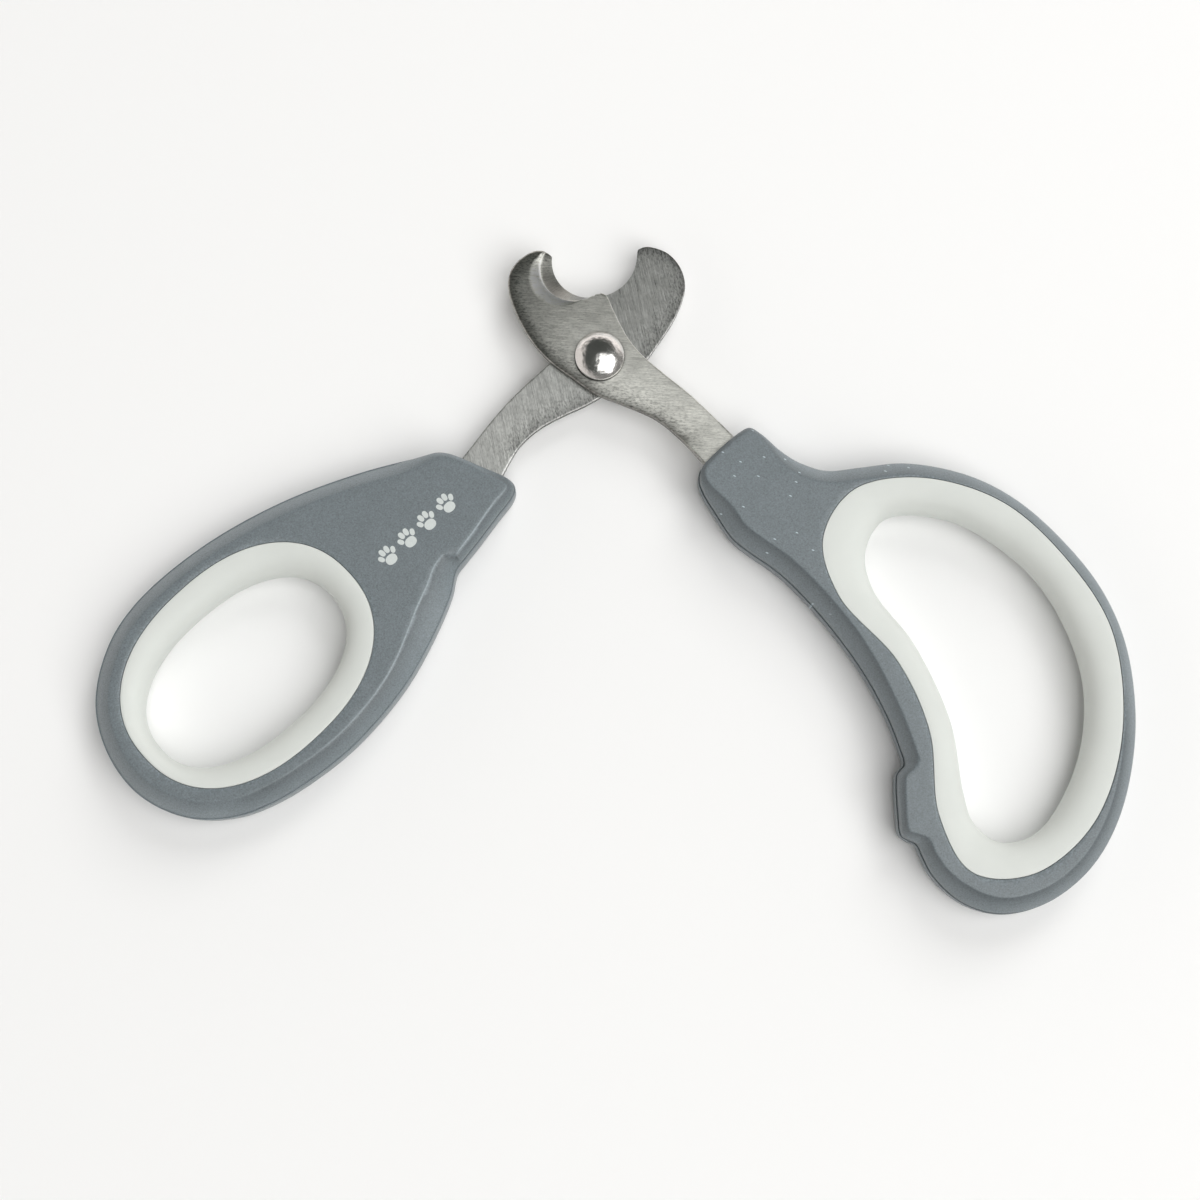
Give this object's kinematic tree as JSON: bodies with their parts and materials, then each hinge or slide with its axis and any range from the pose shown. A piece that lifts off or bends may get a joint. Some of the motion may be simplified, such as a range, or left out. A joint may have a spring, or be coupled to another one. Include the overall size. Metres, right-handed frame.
{
  "type": "scissor nail clipper",
  "caption": "Scissor-action pet nail clipper: hooked steel blades crossed at a domed rivet, moulded plastic handles with soft thumb and finger loops.",
  "frame": {"origin": "on the pivot axis, at the flat back of the rivet", "axes": "+Z along the pivot towards the rivet's domed head, -Y halves the angle between the open handles, +X towards the finger handle"},
  "size_m": [0.1643, 0.106, 0.0084],
  "materials": {
    "blade_steel": "satin, ground with fine lines along the blade",
    "rivet_chrome": "polished",
    "handle_plastic": "fine matte moulding, cool dark grey",
    "grip_soft": "soft matte, pale warm grey"
  },
  "bodies": {
    "lower_half": {"lower_blade": "blade_steel", "thumb_handle": "handle_plastic", "thumb_grip": "grip_soft", "pivot_rivet": "rivet_chrome", "rivet_cap": "rivet_chrome"},
    "upper_half": {"upper_blade": "blade_steel", "finger_handle": "handle_plastic", "finger_grip": "grip_soft"}
  },
  "joints": [
    {"name": "pivot", "type": "hinge", "parent": "lower_half", "child": "upper_half", "pos_m": [0, 0, 0.00305], "axis": [0, 0, 1], "range_deg": [-67, 113]}
  ]
}
